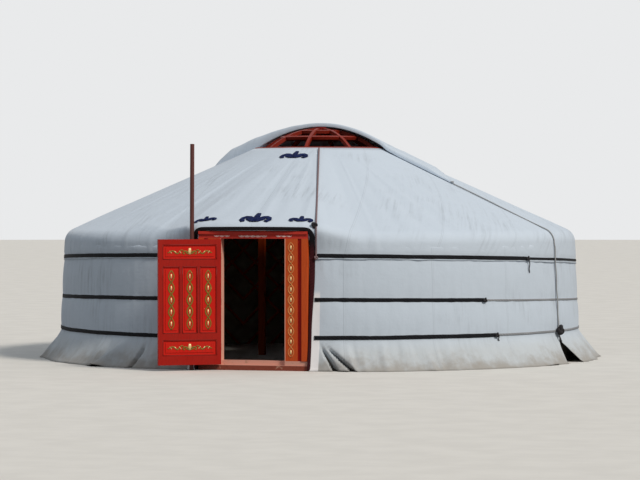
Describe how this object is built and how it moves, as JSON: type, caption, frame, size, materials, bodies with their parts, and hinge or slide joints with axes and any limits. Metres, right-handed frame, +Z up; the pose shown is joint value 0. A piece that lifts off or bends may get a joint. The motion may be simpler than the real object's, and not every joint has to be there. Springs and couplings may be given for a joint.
{
  "type": "yurt",
  "caption": "Round felt tent: lattice wall, pitched roof of poles, domed crown wheel, felt and canvas covers held by belts, painted wooden door standing open.",
  "frame": {"origin": "centre of the floor circle at ground level", "axes": "+Z up, the door faces -Y, +X to the right of someone who faces the door"},
  "size_m": [6.211, 6.4715, 2.6031],
  "materials": {
    "canvas": "weathered white cotton canvas",
    "felt": "pressed wool felt",
    "orange_wood": "orange paint on wood",
    "red_wood": "red paint on wood",
    "belt_webbing": "woven black hair",
    "rope": "twisted hair rope",
    "iron": "dull forged iron"
  },
  "bodies": {
    "house": {"door_sill": "red_wood", "door_jamb_left": "orange_wood", "door_jamb_right": "orange_wood", "door_lintel": "red_wood", "hinge_brackets": "iron", "lattice_1": "orange_wood", "lattice_2": "orange_wood", "lattice_3": "orange_wood", "lattice_4": "orange_wood", "lattice_5": "orange_wood", "roof_poles_door": "orange_wood", "roof_poles_right": "orange_wood", "roof_poles_left": "orange_wood", "crown_rim": "red_wood", "crown_hub": "red_wood", "crown_spokes": "orange_wood", "crown_rings": "orange_wood", "crown_post_left": "orange_wood", "crown_post_right": "orange_wood", "wall_felt_front_right": "felt", "wall_felt_back_right": "felt", "wall_felt_back_left": "felt", "wall_felt_front_left": "felt", "roof_felt_door": "felt", "roof_felt_front_right": "felt", "roof_felt_back_right": "felt", "roof_felt_back_left": "felt", "roof_felt_front_left": "felt", "wall_cover_right": "canvas", "wall_cover_left": "canvas", "roof_cover_door": "canvas", "roof_cover_main": "canvas", "skirt_front_right": "canvas", "skirt_back_right": "canvas", "skirt_back_left": "canvas", "skirt_front_left": "canvas", "crown_flap": "canvas", "belt_upper": "belt_webbing", "belt_middle": "belt_webbing", "belt_lower": "belt_webbing", "flap_rope_right": "rope", "flap_rope_left": "rope", "flap_rope_back": "rope", "flap_pull_rope": "rope", "flap_pole": "orange_wood", "hem_over_door": "belt_webbing", "hem_beside_door": "belt_webbing"},
    "door_leaf": {"leaf_frame": "red_wood", "leaf_panels": "orange_wood", "leaf_hinges": "iron"}
  },
  "joints": [
    {"name": "door_hinge", "type": "hinge", "parent": "house", "child": "door_leaf", "pos_m": [-0.34, -2.8702, 0.73], "axis": [0, 0, 1], "range_deg": [0, 148]}
  ]
}
